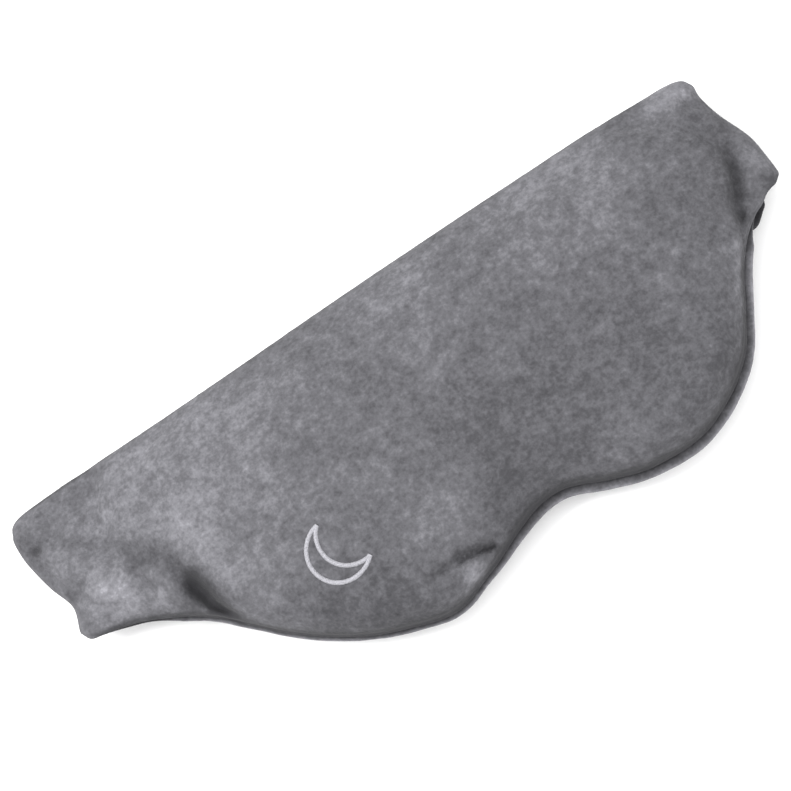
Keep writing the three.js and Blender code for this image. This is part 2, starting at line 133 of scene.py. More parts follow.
class Look:
    """One procedural material, built node by node."""

    def __init__(self, name, roughness, **extra):
        self.material = bpy.data.materials.new(name)
        self.material.use_nodes = True
        self.tree = self.material.node_tree
        self.shader = self.tree.nodes["Principled BSDF"]
        for socket, value in {"Roughness": roughness, **extra}.items():
            self.shader.inputs[socket.replace("_", " ")].default_value = value
        self.place = self.node("ShaderNodeTexCoord").outputs["Object"]

    def node(self, kind, **settings):
        made = self.tree.nodes.new(kind)
        for key, value in settings.items():
            setattr(made, key, value)
        return made

    def wire(self, source, target):
        self.tree.links.new(source, target)

    def set(self, socket, source):
        if isinstance(source, bpy.types.NodeSocket):
            self.wire(source, socket)
        else:
            socket.default_value = source

    def texture(self, kind, grain_mm, place=None, scale=1.0, **inputs):
        """A texture whose grains are about grain_mm across."""
        made = self.node(f"ShaderNodeTex{kind}")
        self.wire(place or self.place, made.inputs["Vector"])
        for socket, value in {"Scale": scale / (grain_mm * MM), **inputs}.items():
            made.inputs[socket].default_value = value
        return made

    def noise(self, grain_mm, detail=2.0, rough=0.5, place=None):
        return self.texture("Noise", grain_mm, place, Detail=detail, Roughness=rough).outputs["Fac"]

    def cells(self, grain_mm):
        return self.texture("Voronoi", grain_mm).outputs["Distance"]

    def waves(self, pitch_mm, direction="X", distortion=0.0):
        made = self.texture("Wave", pitch_mm, scale=WAVE_SCALE, Distortion=distortion)
        made.bands_direction = direction
        return made.outputs["Fac"]

    def weave(self, pitch_mm):
        return self.math("MULTIPLY", self.waves(pitch_mm, "X"), self.waves(pitch_mm, "Y"))

    def fibres(self, grain_mm):
        """Noise drawn out along slanting fibres."""
        mapping = self.node("ShaderNodeMapping")
        mapping.inputs["Scale"].default_value = (1, 0.25, 1)
        mapping.inputs["Rotation"].default_value = (0, 0, 0.5)
        self.wire(self.place, mapping.inputs["Vector"])
        return self.noise(grain_mm, 6, 0.75, mapping.outputs["Vector"])

    def math(self, operation, a, b):
        made = self.node("ShaderNodeMath", operation=operation)
        self.set(made.inputs[0], a)
        self.set(made.inputs[1], b)
        return made.outputs["Value"]

    def ramp(self, source, stops):
        """Each stop is a position and its colour."""
        made = self.node("ShaderNodeValToRGB")
        ramp = made.color_ramp
        while len(ramp.elements) < len(stops):
            ramp.elements.new(0.5)
        for element, (position, colour) in zip(ramp.elements, stops):
            element.position = position
            element.color = (*colour, 1)
        self.wire(source, made.inputs["Fac"])
        return made.outputs["Color"]

    def colour(self, source):
        self.wire(source, self.shader.inputs["Base Color"])

    def bump(self, height, depth_mm, strength=1.0):
        made = self.node("ShaderNodeBump")
        made.inputs["Strength"].default_value = strength
        made.inputs["Distance"].default_value = depth_mm * MM
        self.wire(height, made.inputs["Height"])
        last = self.shader.inputs["Normal"]
        if last.is_linked:
            self.wire(last.links[0].from_socket, made.inputs["Normal"])
        self.wire(made.outputs["Normal"], last)


def grey(value, tint=(1, 1, 1)):
    return tuple(value * t for t in tint)


COOL = (0.985, 0.975, 1.06)
RAMP_STEPS = 4
GRAIN_MOTTLE, TUFT_MOTTLE, PATCH_MOTTLE = 0.5, 0.62, 0.4


def finish_plush(slot, dark, light):
    """Short pile, mottled lighter and darker in patches. The mesh's own pile attribute sets its tone at each
    point: the brushing of the pile, with painted light and shade in it.
    """
    look = Look(slot, 0.92, Sheen_Weight=0.06, Sheen_Roughness=0.5, Specular_IOR_Level=0.1)
    # The pile attribute holds painted light and shade as well as the brushing of the pile.
    pile_light_and_shade = look.node("ShaderNodeAttribute", attribute_name="pile").outputs["Fac"]
    grain = look.noise(1.1, 3, 0.6)
    tufts = look.noise(3.2, 3, 0.65)
    patches = look.noise(16, 4, 0.6)
    shade = pile_light_and_shade
    for source, amount in ((grain, GRAIN_MOTTLE), (tufts, TUFT_MOTTLE), (patches, PATCH_MOTTLE)):
        shade = look.math("ADD", shade, look.math("MULTIPLY", look.math("SUBTRACT", source, 0.5), amount))
    shares = [step / RAMP_STEPS for step in range(RAMP_STEPS + 1)]
    look.colour(look.ramp(shade, [(share, grey(dark * (light / dark) ** share, COOL)) for share in shares]))
    look.bump(tufts, 0.35, 0.6)
    look.bump(grain, 0.2, 0.8)
    FINISHES[slot] = look.material


def finish_webbing():
    """Elastic with knitted ribs."""
    look = Look("webbing", 0.75, Sheen_Weight=0.25)
    ribs = look.waves(1.05, "X", 0.15)
    knit = look.math("MULTIPLY", ribs, look.waves(0.7, "Y", 0.3))
    look.colour(look.ramp(knit, [(0.05, grey(0.006)), (0.9, grey(0.035, COOL))]))
    look.bump(ribs, 0.3)
    look.bump(look.noise(0.5, 4, 0.7), 0.08)
    FINISHES["webbing"] = look.material


def finish(slot, roughness, texture, stops, depth, **extra):
    """A finish whose colour and relief both follow one texture: a method of Look, then its values."""
    look = Look(slot, roughness, **extra)
    draw, *values = texture
    marks = draw(look, *values)
    look.colour(look.ramp(marks, stops))
    look.bump(marks, depth)
    FINISHES[slot] = look.material


def finish_plain(slot, dark, light, grain, roughness, depth=0.03, **extra):
    """Two close colours in cloudy marks."""
    finish(slot, roughness, (Look.noise, grain, 5, 0.6), [(0.3, dark), (0.7, light)], depth, **extra)


finish_plush("plush", 0.035, 0.31)
finish_plush("plush_back", 0.033, 0.29)
finish_webbing()
finish(
    "batting", 1.0, (Look.fibres, 0.9), [(0.3, (0.7, 0.69, 0.65)), (0.7, (0.9, 0.89, 0.86))], 0.3,
    Sheen_Weight=0.3,
)
finish("foam", 0.95, (Look.cells, 0.7), [(0.0, (0.36, 0.34, 0.29)), (0.45, (0.66, 0.63, 0.56))], 0.25)
finish(
    "bead_cloth", 0.85, (Look.weave, 0.7), [(0.1, (0.3, 0.29, 0.25)), (0.8, (0.5, 0.49, 0.44))], 0.15,
    Sheen_Weight=0.2,
)
finish("touch_tape", 0.8, (Look.cells, 0.75), [(0.05, grey(0.035)), (0.6, grey(0.006))], 0.4, Sheen_Weight=0.3)
finish(
    "thread", 0.5, (Look.noise, 0.35, 3, 0.7), [(0.3, grey(0.2, COOL)), (0.7, grey(0.46, COOL))], 0.05,
    Sheen_Weight=0.3, Specular_IOR_Level=0.4,
)
finish_plain("case_plastic", grey(0.035), grey(0.05), 0.4, 0.5)
finish_plain("motor_steel", grey(0.5), grey(0.62), 0.3, 0.28, 0.01, Metallic=1.0)
finish_plain("weight_metal", grey(0.2), grey(0.27), 0.25, 0.45, 0.02, Metallic=1.0)
finish_plain("board", (0.01, 0.08, 0.035), (0.015, 0.12, 0.05), 1.2, 0.35)
finish_plain("cell_foil", grey(0.42), grey(0.56), 1.5, 0.35, 0.05, Metallic=0.9)
finish_plain("silicone", grey(0.22), grey(0.28), 0.8, 0.6)
finish_plain("lamp", grey(0.8), grey(0.88), 2.0, 0.12, Transmission_Weight=0.6)
finish_plain("lead_sheath", grey(0.01), grey(0.018), 0.5, 0.45)


def wear(piece, slot):
    """The piece takes one finish, by the record's slot."""
    piece.data.materials.clear()
    piece.data.materials.append(FINISHES[slot])


def finish_carried_over_nodes():
    """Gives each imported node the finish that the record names."""
    for row in frame["record"]["subparts"]:
        node = frame["nodes"][row["node"]]
        node.data.materials.clear()
        node.data.materials.append(FINISHES[row["material_slot"]])


finish_carried_over_nodes()


# ------------------------------------------------------------------ mesh tools
def new_piece(name, points, faces, smooth=True):
    """A mesh from points in millimetres, with doubled points merged and its faces turned outwards."""
    mesh = bpy.data.meshes.new(name)
    mesh.from_pydata([tuple(p) for p in np.asarray(points, float) * MM], [], faces)
    mesh.update()
    piece = placed(name, mesh)
    tidy = bmesh.new()
    tidy.from_mesh(mesh)
    bmesh.ops.remove_doubles(tidy, verts=tidy.verts, dist=1e-4 * MM)
    bmesh.ops.recalc_face_normals(tidy, faces=tidy.faces)
    tidy.to_mesh(mesh)
    tidy.free()
    if smooth:
        mesh.shade_smooth()
    return piece


def apply_modifiers(piece):
    """Replaces the mesh with what its modifiers make of it."""
    shape = piece.evaluated_get(bpy.context.evaluated_depsgraph_get())
    made = bpy.data.meshes.new_from_object(shape)
    old = piece.data
    piece.modifiers.clear()
    piece.data = made
    bpy.data.meshes.remove(old)


def remesh_evenly(piece, grain):
    """Adds a modifier that makes the mesh anew from cubes of that size."""
    remesh = piece.modifiers.new("remesh", "REMESH")
    remesh.mode = "VOXEL"
    remesh.voxel_size = grain * MM


def places_of(piece):
    """The mesh's points in millimetres."""
    return np.array([vertex.co for vertex in piece.data.vertices]) / MM


def length_along(line):
    """How far along a line of points each one lies."""
    return np.concatenate([[0], np.cumsum(np.linalg.norm(np.diff(line, axis=0), axis=1))])


def smooth_curve(knots, steps):
    """A Catmull-Rom curve through the knots, with steps points to each stretch."""
    knots = [np.array(k, float) for k in knots]
    ends = [2 * knots[0] - knots[1], *knots, 2 * knots[-1] - knots[-2]]
    made = []
    for a, b, c, d in zip(ends, ends[1:], ends[2:], ends[3:]):
        for t in np.arange(steps) / steps:
            made.append(0.5 * (
                2 * b + (c - a) * t + (2 * a - 5 * b + 4 * c - d) * t**2 + (3 * b - a - 3 * c + d) * t**3
            ))
    made.append(knots[-1])
    return np.array(made)


def fractal(point, grain, seed=0.0, octaves=3):
    """Noise from about -1 to 1 with grains about grain millimetres across."""
    place = Vector(point) / grain + Vector((seed, seed * 1.7, seed * 0.3))
    return noise.fractal(place, 1.0, 2.0, octaves)


# ------------------------------------------------------------------ the sewn outline
LEFT_EAR = (-120.2, 53.8)
RIGHT_EAR = (89.9, 54.8)
LEFT_HEEL = (-116.7, 22.8)
RIGHT_TIP = (94.9, 22.8)
FOREHEAD_EDGE = [
    LEFT_EAR, (-118.4, 57.0), (-112, 58.2), (-95, 58.4), (-60, 58.4), (-20, 59.0), (20, 59.2), (60, 58.9),
    (77, 58.4), (84.6, 58.0), (88.6, 56.9), RIGHT_EAR,
]
RIGHT_EDGE = [RIGHT_EAR, (89.6, 50.8), (91.0, 44), (94.1, 35), (94.8, 27.5), RIGHT_TIP]
FACE_EDGE = [
    LEFT_HEEL, (-115.4, 20.2), (-112, 19.2), (-107, 18.0), (-100, 15.7), (-93, 12.2), (-85, 6.9), (-77.5, -0.4),
    (-70, -7.7), (-61, -14.6), (-52, -19.9), (-43, -23.4), (-34, -26), (-28, -25.6), (-22, -23.4), (-17, -21.6),
    (-8, -17.6), (0, -14.9), (8, -15), (17, -18.8), (26, -22), (35, -23.2), (43, -22.8), (51, -20),
    (58, -15.8), (64, -10.3), (69, -2.6), (74, 5.8), (79, 12.3), (84, 16.6), (87.6, 18.4), (89.8, 19.9),
    (91.6, 20.7), (93.4, 21.2), RIGHT_TIP,
]
LEFT_EDGE = [LEFT_HEEL, (-115.0, 30.0), (-117.8, 38), (-119.8, 46), (-120.3, 50.6), LEFT_EAR]


def resample(curve, count, evenness=0.3):
    """count + 1 points along a curve, spread mostly by X, or by length where evenness is 1."""
    steps = np.abs(np.diff(curve, axis=0))
    length = np.concatenate([[0], np.cumsum(steps[:, 0] + evenness * steps[:, 1])])
    wanted = np.linspace(0, length[-1], count + 1)
    return np.stack([np.interp(wanted, length, curve[:, k]) for k in range(2)], axis=1)


def eased(count, amount):
    """0 to 1 in count steps, closer together at both ends."""
    even = np.linspace(0, 1, count + 1)
    return even * (1 - amount) + (1 - np.cos(np.pi * even)) / 2 * amount


def along(curve, share):
    """Points of an evenly stepped curve at those shares of its length."""
    place = np.asarray(share) * (len(curve) - 1)
    index = np.arange(len(curve))
    return np.stack([np.interp(place, index, curve[:, k]) for k in range(2)], axis=1)


def tucked(points, tuck, reach=9):
    """Draws the ends of the wings in by tuck, and leaves what is past reach where it is."""
    x, moved = points[..., 0], points.copy()
    for end, inward in ((LEFT_END, 1), (RIGHT_END, -1)):
        moved[..., 0] += inward * tuck * np.exp(-(((x - end) / reach) ** 2))
    return moved


def tree_of(points, chosen):
    """A tree for finding the nearest of the chosen points."""
    tree = KDTree(len(chosen))
    for k in chosen:
        tree.insert(points[k], k)
    tree.balance()
    return tree


class Plan:
    """Rows and columns of points that fill the sewn outline, and how deep inside it each lies."""

    def __init__(self, columns, rows, tuck=0.0, inset=0.0):
        bottom = resample(smooth_curve(FACE_EDGE, 12), 1200)
        top = resample(smooth_curve(FOREHEAD_EDGE, 24), 1200)
        left = resample(smooth_curve(LEFT_EDGE, 24), 300, 1)
        right = resample(smooth_curve(RIGHT_EDGE[::-1], 24), 300, 1)
        u, v = eased(columns, 0.35), eased(rows, 0.75)
        b, t = along(bottom, u)[:, None], along(top, u)[:, None]
        lf, rt = along(left, v)[None], along(right, v)[None]
        uu, vv = u[:, None, None], v[None, :, None]
        corners = (1 - vv) * ((1 - uu) * bottom[0] + uu * bottom[-1]) + vv * ((1 - uu) * top[0] + uu * top[-1])
        points = (1 - vv) * b + vv * t + (1 - uu) * lf + uu * rt - corners
        outline = np.concatenate([bottom[:-1:3], right[:-1:3], top[:0:-3], left[:0:-3]])
        self.points, self.outline = tucked(points, tuck), tucked(outline, tuck)
        self.columns, self.rows = columns, rows
        if inset:
            self.draw_in(inset)
        self.depth = self.depth_of(self.points)

    def draw_in(self, inset):
        """Shrinks the plan towards its middle, so that its edge lies inset within the outline."""
        middle = np.array([(LEFT_END + RIGHT_END) / 2, (FOREHEAD_Y + FRONT_LOW.y) / 2])
        half = np.array([(RIGHT_END - LEFT_END) / 2, (FOREHEAD_Y - FRONT_LOW.y) / 2])
        self.points = middle + (self.points - middle) * (1 - inset / half)

    def depth_of(self, points):
        """How far each point lies from the nearest stretch of the outline."""
        flat = points.reshape(-1, 2)
        count = len(self.outline)
        tree = tree_of([(*place, 0) for place in self.outline], range(count))
        nearest = np.array([tree.find((*place, 0))[1] for place in flat])
        depth = np.full(len(flat), np.inf)
        for step in (-1, 0):
            start = self.outline[(nearest + step) % count]
            stretch = self.outline[(nearest + step + 1) % count] - start
            share = np.sum((flat - start) * stretch, axis=1) / np.maximum(np.sum(stretch**2, axis=1), 1e-9)
            apart = flat - start - np.clip(share, 0, 1)[:, None] * stretch
            depth = np.minimum(depth, np.linalg.norm(apart, axis=1))
        return depth.reshape(points.shape[:-1])


def grid_faces(columns, rows, first=0):
    """Faces of a sheet of points, which run along each column in turn."""
    width = rows + 1
    corners = [first + i * width + j for i in range(columns) for j in range(rows)]
    return [(k, k + width, k + width + 1, k + 1) for k in corners]


def perimeter(columns, rows):
    """The places on the edge of a grid in order, once round."""
    return (
        [(i, 0) for i in range(columns)] + [(columns, j) for j in range(rows)]
        + [(i, rows) for i in range(columns, 0, -1)] + [(0, j) for j in range(rows, 0, -1)]
    )


def closed_faces(columns, rows):
    """Faces of two sheets of points over one grid, one after the other and joined all round."""
    count = (columns + 1) * (rows + 1)
    loop = [i * (rows + 1) + j for i, j in perimeter(columns, rows)]
    return [
        *grid_faces(columns, rows),
        *(face[::-1] for face in grid_faces(columns, rows, count)),
        *((a, a + count, b + count, b) for a, b in zip(loop, loop[1:] + loop[:1])),
    ]


def over(plan, heights):
    """The plan's points at those heights."""
    return np.concatenate([plan.points, heights[..., None]], axis=2)


def closed_between(name, plan, upper, lower):
    """A closed piece between two sheets of heights over one plan."""
    sheets = [over(plan, heights).reshape(-1, 3) for heights in (upper, lower)]
    return new_piece(name, np.concatenate(sheets), closed_faces(plan.columns, plan.rows))


def softened(loop, passes):
    for _ in range(passes):
        loop = (np.roll(loop, 1, axis=0) + 2 * loop + np.roll(loop, -1, axis=0)) / 4
    return loop


def outward(loop):
    """The outward direction in plan at each point of a loop that runs anticlockwise."""
    along_loop = np.roll(loop, -1, axis=0) - np.roll(loop, 1, axis=0)
    normal = softened(np.stack([along_loop[:, 1], -along_loop[:, 0]], axis=1), 3)
    return normal / np.linalg.norm(normal, axis=1)[:, None]


def add_hem(plan, points, faces, rings):
    """Grows rings of points from the sheet's edge. Each ring says how far out it lies, and its height."""
    edge = perimeter(plan.columns, plan.rows)
    loop = [i * (plan.rows + 1) + j for i, j in edge]
    base = points[loop]
    normal = outward(base[:, :2])
    ends = softened(np.array([float(i in (0, plan.columns)) for i, j in edge]), 14)
    points, faces = list(points), list(faces)
    previous, count = loop, len(loop)
    for out, height in rings(base, ends):
        spread = base[:, :2] + normal * np.reshape(out, (-1, 1))
        start = len(points)
        points.extend(np.column_stack([spread, np.broadcast_to(height, count)]))
        current = list(range(start, start + count))
        faces.extend(
            (previous[k], current[k], current[(k + 1) % count], previous[(k + 1) % count]) for k in range(count)
        )
        previous = current
    return np.array(points), faces


# ------------------------------------------------------------------ shape of the covers
CROWN = [
    (-118, 3.4), (-106, 4.6), (-96, 5.4), (-86, 8.4), (-70, 10.6), (-50, 11.6), (-20, 11.9), (20, 11.9),
    (46, 11.7), (62, 10.8), (74, 8.6), (84, 6.0), (94.6, 3.4),
]
FRONT_ROLL, BACK_ROLL = 15.0, 9.0  # how far in from the seam each cover still curves
ROLL_FULLNESS = 2.15
BAY_EDGE = (9.0, 17.0)  # between these Y the back rises from the lobes to the bay of the straps
BAY_LIFT = 6.35
HEM_FRONT = 1.1
WALL = 0.42  # share of the back's depth that its side wall takes before it turns under
BACK_TUCK = 2.4  # the back cover ends this far inside the wings' rolled ends
COVER_THICKNESS = 0.9

# Creases in the front: from, to, depth and half-width. A negative depth is a ridge.
CREASES = [
    ((-110, 46), (-99, 37), 0.5, 3.0),
    ((-100, 37), (-88, 27), 1.1, 3.4),
    ((-95.4, 28), (-93.4, 21), 1.0, 1.2),
    ((-94, 29), (-85, 24), 1.2, 2.6),
    ((-86, 22), (-83, 14), 2.2, 2.3),
    ((-83.6, 16), (-80.6, 3), 4.4, 2.4),
    ((-106, 27), (-98, 19), -0.9, 3.6),
    ((-77, 34), (-74, 8), -0.9, 3.6),
    ((-110, 27), (-103, 21), 0.4, 2.0),
    ((88, 34), (81.5, 18.5), 2.2, 2.1),
    ((82, 18.5), (79, 11), 1.3, 1.5),
    ((77, 13), (67, -6), -1.0, 1.6),
    ((-31, -17.6), (-23, -16.6), 1.3, 1.1),
    ((-23, -16.6), (-14.5, -18.6), 3.2, 1.0),
    ((-19, -20.6), (-27, -24), -1.1, 1.3),
    ((56, -13), (61, -16.5), 1.1, 1.8),
    ((-116.6, 47.8), (-115.2, 46.8), 1.8, 1.2),
    ((-115, 31), (-109, 33), 0.9, 2.0),
    ((91, 49), (85, 49.5), 1.2, 1.8),
    ((12, -21), (15, -13), 0.6, 2.0),
    ((24, -25), (27, -18), 0.4, 2.0),
    ((2, -17), (5, -11), 0.5, 1.8),
    ((-62, -19), (-58, -12), 0.4, 2.4),
    ((-8, -20), (-9, -13), 0.5, 1.8),
]


def crown(x):
    """Height of the front above its hem, eased between the given places."""
    knots = smooth_curve(CROWN, 8)
    return np.interp(x, knots[:, 0], knots[:, 1])


def roll(depth, radius):
    """The curve of a filled edge: 0 at the seam, 1 from radius inwards."""
    share = np.clip(depth / radius, 0, 1)
    return (1 - (1 - share) ** ROLL_FULLNESS) ** (1 / ROLL_FULLNESS)


def creased(points, creases):
    """How far each point is raised by the creases, which fade towards both ends."""
    total = np.zeros(points.shape[:-1])
    for start, end, depth, width in creases:
        a, b = np.array(start, float), np.array(end, float)
        share = np.clip(((points - a) @ (b - a)) / ((b - a) @ (b - a)), 0, 1)
        distance = np.linalg.norm(points - a - share[..., None] * (b - a), axis=-1)
        fade = 0.45 + 0.55 * np.sin(np.pi * (0.15 + 0.7 * share))
        total -= depth * fade * np.exp(-((distance / width) ** 2))
    return total


def lumps(points, grain, seed):
    """Noise at each point, in grains about grain millimetres across."""
    flat = points.reshape(-1, points.shape[-1])
    return np.array([fractal((*p, 0)[:3], grain, seed) for p in flat]).reshape(points.shape[:-1])


def front_heights(plan):
    """Heights of the front: its crown, the filled edge, creases and gentle waves."""
    rise = (crown(plan.points[..., 0]) - HEM_FRONT) * roll(plan.depth, FRONT_ROLL)
    dents = creased(plan.points, CREASES) * np.clip(plan.depth / 2.2, 0.12, 1)
    waves = lumps(plan.points, 30, 3.1) * 0.5 + lumps(plan.points, 11, 7.7) * 0.2
    return SEAM_Z + HEM_FRONT + rise + dents + waves * np.clip(plan.depth / 6, 0, 1)


def back_drop(points):
    """How far below the seam the back lies, in the lobes and in the straps' bay."""
    lobe = np.clip((BAY_EDGE[1] - points[..., 1]) / (BAY_EDGE[1] - BAY_EDGE[0]), 0, 1)
    lobe = lobe * lobe * (3 - 2 * lobe)
    return (SEAM_Z - BAY_LIFT) * (1 - lobe) + SEAM_Z * lobe


def back_heights(plan):
    """Heights of the back, nearly flat, with small folds in the straps' bay."""
    fall = back_drop(plan.points) * (WALL + (1 - WALL) * roll(plan.depth, BACK_ROLL))
    in_bay = np.clip((plan.points[..., 1] - BAY_EDGE[1]) / 3, 0, 1)
    folds = lumps(plan.points, 14, 5.3) * 0.22 * np.clip(plan.depth / 5, 0, 1) * in_bay
    return np.maximum(SEAM_Z - fall + np.maximum(folds, -0.05), FLOOR_GAP)


def front_rings(base, ends):
    """A narrow hem along the sewn edges, and a full roll under the ends of the wings."""
    wobble = 0.12 * lumps(base[:, :2], 7, 2.2)
    sewn = [(0.35 + wobble, 0.75), (0.3 + wobble, 0.42), (-0.1, 0.22), (-0.7, 0.18), (-1.3, 0.15)]
    rolled = [(0.75, 0.3), (1.0, -0.7), (0.7, -1.7), (-0.1, -2.45), (-1.9, -2.8)]
    for (sewn_out, sewn_z), (rolled_out, rolled_z) in zip(sewn, rolled):
        yield sewn_out * (1 - ends) + rolled_out * ends, SEAM_Z + sewn_z * (1 - ends) + rolled_z * ends


def back_rings(base, ends):
    """The back swells out past the seam, most of all from the nose bridge round the right lobe."""
    x, y = base[:, 0], base[:, 1]
    face_side = np.clip((30 - y) / 12, 0, 1) * np.clip((90 - x) / 7, 0, 1)
    right_side = face_side * np.clip((x + 24) / 22, 0, 1)
    wall = back_drop(base[:, :2]) * WALL
    out = (0.15 + 0.95 * face_side + 1.15 * right_side + 0.15 * lumps(base[:, :2], 9, 4.4)) * (1 - ends)
    out *= np.clip(wall / 3, 0, 1)
    yield out * 0.75, SEAM_Z - wall * 0.72
    yield out, SEAM_Z - wall * 0.46
    yield out * 0.7, SEAM_Z - wall * 0.22
    yield out * 0.1, SEAM_Z - 0.3
    yield -1.3, SEAM_Z - 0.2


# ------------------------------------------------------------------ cloth
SWELL_CAP = 1.6
SWELL_STEPS = 20
HELD_INSET, HELD_HEIGHT, HELD_FLOOR = 3, 2.2, 0.8  # how near the seam or the floor the pillow is held
NEIGHBOURS, NEIGHBOUR_EASE = 12, 6


class Swell:
    """How the sewn pillow of both covers swells and wrinkles when it is filled, found by cloth simulation."""

    def __init__(self):
        self.trees = {}
        before, after = self.simulate(Plan(60, 24))
        moved = after - before
        length = np.linalg.norm(moved, axis=1)[:, None]
        self.moved = moved * np.minimum(1, SWELL_CAP / np.maximum(length, 1e-9))
        for side in (-1, 1):
            on_side = np.flatnonzero((before[:, 2] - SEAM_Z) * side > 0)
            self.trees[side] = tree_of(before, on_side.tolist())

    def simulate(self, plan):
        """The pillow's points before and after it is filled. Its seam and what touches the floor are held."""
        pillow = closed_between("pillow", plan, front_heights(plan), back_heights(plan))
        remesh_evenly(pillow, 3.2)
        apply_modifiers(pillow)
        before = places_of(pillow)
        depth = plan.depth_of(before[:, :2])
        at_seam = (depth < HELD_INSET) & (np.abs(before[:, 2] - SEAM_Z) < HELD_HEIGHT)
        held = at_seam | (before[:, 2] < HELD_FLOOR)
        pillow.vertex_groups.new(name="sewn").add(np.flatnonzero(held).tolist(), 1.0, "REPLACE")
        cloth = pillow.modifiers.new("cloth", "CLOTH")
        cloth.settings.quality = 6
        cloth.settings.vertex_group_mass = "sewn"
        cloth.settings.use_pressure = True
        cloth.settings.uniform_pressure_force = 4
        cloth.settings.shrink_min = -0.09
        cloth.settings.effector_weights.gravity = 0
        cloth.settings.bending_stiffness = 0.3
        cloth.point_cache.frame_end = SWELL_STEPS
        scene = bpy.context.scene
        for step in range(1, SWELL_STEPS + 1):
            scene.frame_set(step)
        apply_modifiers(pillow)
        after = places_of(pillow)
        scene.frame_set(1)
        bpy.data.objects.remove(pillow)
        return before, after

    def at(self, points, side):
        """The swelling at each point of the front, side 1, or of the back, side -1."""
        if not self.trees:
            return np.zeros(points.shape)
        made = []
        for point in points.reshape(-1, 3):
            near = self.trees[side].find_n(point, NEIGHBOURS)
            weights = np.array([1 / (distance**2 + NEIGHBOUR_EASE) for _, _, distance in near])
            made.append(weights @ self.moved[[k for _, k, _ in near]] / weights.sum())
        return np.array(made).reshape(points.shape)


swell = Swell()


def ruffle(piece, grain, amount, seed):
    """Moves each vertex in or out along its normal, as tufts of pile do, and less so at the seam."""
    vertices = piece.data.vertices
    normals = [vertex.normal.copy() for vertex in vertices]
    for vertex, normal in zip(vertices, normals):
        from_seam = min(abs(vertex.co.z / MM - SEAM_Z) / 9, 1)
        vertex.co += normal * fractal(vertex.co / MM, grain, seed, 2) * amount * from_seam * MM


def thicken(piece, thickness, offset=-1):
    """Adds a skin to a sheet, inwards or, where offset is 1, outwards."""
    skin = piece.modifiers.new("skin", "SOLIDIFY")
    skin.thickness = thickness * MM
    skin.offset = offset


def hem_shade(points):
    """Painted shade along the front's sewn edges: nearly 1 close to them, and 0 on the crown and at the ends of
    the wings.
    """
    x, above = points[:, 0], points[:, 2] - SEAM_Z
    sewn_length = np.clip((x - LEFT_END - 3) / 5, 0, 1) * np.clip((RIGHT_END - 14 - x) / 6, 0, 1)
    rise = np.clip((above - HEM_FRONT) / (crown(x) - HEM_FRONT), 0, 1)
    return sewn_length * (0.45 * np.exp(-((rise / 0.4) ** 2)) + 0.55 * np.exp(-((rise / 0.34) ** 6)))


def seam_shade(points):
    """1 in the seam's groove, then below 0 where the back's side wall bulges into the light."""
    below = SEAM_Z - points[:, 2]
    return np.exp(-((below / 0.55) ** 2)) - 0.9 * np.exp(-(((below - 1.7) / 0.8) ** 2))


# How strongly painted shade darkens the plush in creases, along the sewn edges and in the seam.
CREASE_SHADE = 0.11
EDGE_SHADE = 0.46


def paint_pile_light_and_shade(piece, base, spots=(), creases=(), dark=None):
    """Writes a tone for the pile at each point, from 0 to 1: random tone, painted shade in creases and along
    edges, and painted light and shade in the spots.
    """
    points = places_of(piece)
    plan = points[:, :2]
    # Random tone, with painted shade in the creases.
    shade = base + 0.05 * lumps(points, 26, 1.3) + CREASE_SHADE * creased(plan, creases)
    # Spots of painted light and shade, with some brushing of the pile.
    for spot_x, spot_y, amount, reach in spots:
        shade += amount * np.exp(-((plan[:, 0] - spot_x) ** 2 + (plan[:, 1] - spot_y) ** 2) / reach**2)
    # Painted shade along the sewn edges and in the seam's groove, with painted light on the back's bulging
    # wall.
    if dark:
        shade -= EDGE_SHADE * dark(points)
    # The pile attribute carries this painted light and shade into the plush finish.
    attribute = piece.data.attributes.new("pile", "FLOAT", "POINT")
    attribute.data.foreach_set("value", shade)


# Where the front is painted lighter or darker: partly the brushing of the pile and partly painted light and
# shade, such as the lit left wing and the shaded creases and tip. Each spot gives X, Y, amount and reach.
FRONT_PILE_LIGHT_SHADE_SPOTS = [
    (-96, 36, 0.10, 36), (-104, 24, 0.18, 9), (-84, 34, 0.04, 20), (-62, 4, 0.09, 22), (-61, 45, 0.16, 26),
    (-10, 52, 0.12, 22), (43, 50, 0.17, 25), (-44, -22, -0.13, 14), (-60, -11, -0.09, 12), (86, 42, -0.06, 12),
    (62, -8, -0.06, 16), (4, -8, -0.06, 14), (-24, -11, 0.15, 9), (86, 55, 0.3, 9), (94, 28, 0.1, 7),
    (80, 7, 0.1, 15), (-22.4, -22.4, 0.2, 2.6), (93.4, 21.6, -0.3, 2), (-110, 54, 0.06, 10),
    (-119, 50, -0.1, 5), (-117, 39, -0.08, 4), (-80, 8, -0.2, 5), (-84, 14.5, -0.24, 5), (-22, 9, 0.04, 13),
]


def cover_surface(columns, rows, tuck, heights, rings, side):
    """Points and faces of the front, side 1, or of the back, side -1."""
    plan = Plan(columns, rows, tuck)
    points = over(plan, heights(plan))
    held = np.clip(plan.depth / 5, 0, 1)[..., None]
    points = points + swell.at(points, side) * held
    points[..., 2] = np.maximum(points[..., 2], FLOOR_GAP)
    points, faces = add_hem(plan, points.reshape(-1, 3), grid_faces(columns, rows), rings)
    return points, faces if side > 0 else [face[::-1] for face in faces]


def stand_in(piece, node, slot):
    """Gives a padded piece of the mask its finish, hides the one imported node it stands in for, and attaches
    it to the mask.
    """
    wear(piece, slot)
    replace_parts(piece, node)
    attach(piece, "mask")


